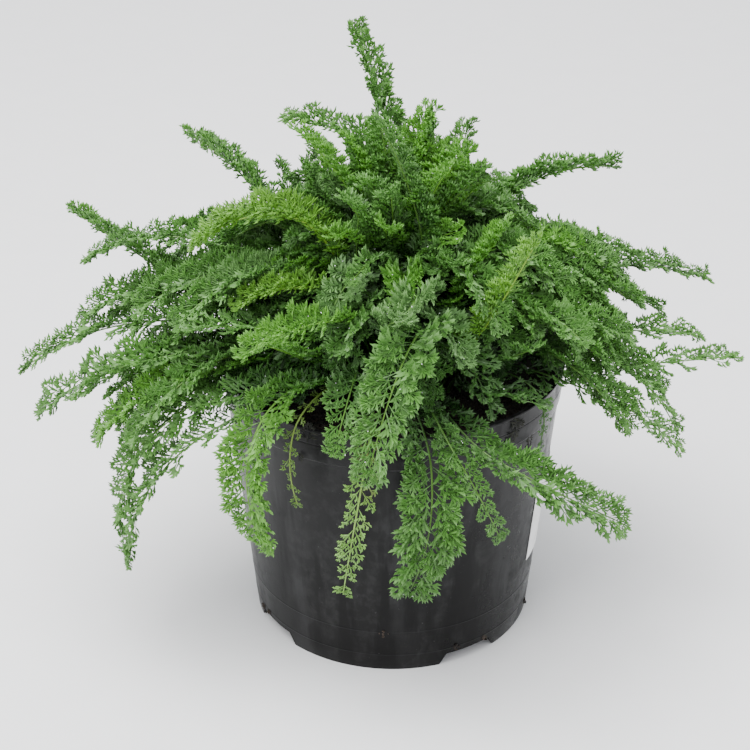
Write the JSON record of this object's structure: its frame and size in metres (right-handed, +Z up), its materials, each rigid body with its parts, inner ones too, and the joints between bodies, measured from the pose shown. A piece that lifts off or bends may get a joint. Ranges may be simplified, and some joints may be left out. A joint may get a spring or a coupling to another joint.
{
  "type": "potted yarrow",
  "caption": "Leafy yarrow plant with arching, feathery fronds in a tapered round charcoal nursery pot filled with dark soil.",
  "frame": {"origin": "middle of the underside of the pot, on the surface that the pot stands on", "axes": "+Z up along the axis of the pot; -Y towards the front, where the widest fronds hang over the rim; +X to the right, where the label is"},
  "size_m": [0.3449, 0.2664, 0.2854],
  "materials": {
    "charcoal_plastic": "satin",
    "label_paper": "matte",
    "dark_soil": "matte",
    "fresh_leaf": "matte",
    "bright_leaf": "matte",
    "yellow_leaf": "matte",
    "underside_leaf": "matte",
    "yellowing_leaf": "matte",
    "withered_leaf": "matte"
  },
  "bodies": {
    "root": {"nursery_pot": "charcoal_plastic", "potting_soil": "dark_soil", "blank_label": "label_paper", "frond_front_hanging": "fresh_leaf", "frond_front_withered": "withered_leaf", "frond_front_right_hanging": "fresh_leaf", "frond_front_right_short": "fresh_leaf", "frond_left_hanging_outer": "fresh_leaf", "frond_left_hanging_long": "fresh_leaf", "frond_left_hanging_broad": "bright_leaf", "frond_left_hanging_thin": "yellowing_leaf", "frond_right_hanging_thin": "fresh_leaf", "frond_right_low_front": "fresh_leaf", "frond_right_low": "fresh_leaf", "frond_right_hooked": "fresh_leaf", "frond_right_low_rear": "fresh_leaf", "frond_right_spread": "fresh_leaf", "frond_left_low": "fresh_leaf", "frond_left_low_front": "fresh_leaf", "frond_left_low_inner": "bright_leaf", "frond_left_spear": "fresh_leaf", "frond_left_middle": "fresh_leaf", "frond_left_upper": "fresh_leaf", "frond_left_small_arch": "fresh_leaf", "frond_left_bright_arch": "yellow_leaf", "frond_top_tall": "fresh_leaf", "frond_top_left_rear": "fresh_leaf", "frond_top_left": "bright_leaf", "frond_top_middle": "fresh_leaf", "frond_top_right": "fresh_leaf", "frond_pale_upright": "underside_leaf", "frond_right_spear": "fresh_leaf", "frond_right_spear_inner": "fresh_leaf", "frond_right_long_arch": "bright_leaf", "frond_middle_yellow_rib": "yellow_leaf", "frond_middle_bright": "bright_leaf", "frond_middle_curled": "bright_leaf", "frond_middle_pale": "underside_leaf", "frond_front_broad": "fresh_leaf", "frond_front_left_bright": "bright_leaf", "frond_front_left_lobed": "fresh_leaf", "frond_middle_left_curled": "underside_leaf", "frond_left_small_bright": "yellow_leaf", "frond_left_star": "fresh_leaf", "frond_left_grey": "underside_leaf", "frond_right_inner": "fresh_leaf", "frond_right_inner_rear": "fresh_leaf", "frond_front_right_low": "fresh_leaf", "frond_rear_right_spread": "fresh_leaf", "frond_rear_spread": "fresh_leaf", "frond_rear_left_spread": "bright_leaf", "frond_rear_left_low": "fresh_leaf", "frond_rear_right_hanging": "fresh_leaf", "frond_rear_hanging": "fresh_leaf", "frond_rear_left_hanging": "yellow_leaf", "frond_rear_right_upper": "fresh_leaf", "frond_rear_upper": "bright_leaf", "frond_rear_left_upper": "fresh_leaf"}
  },
  "joints": []
}
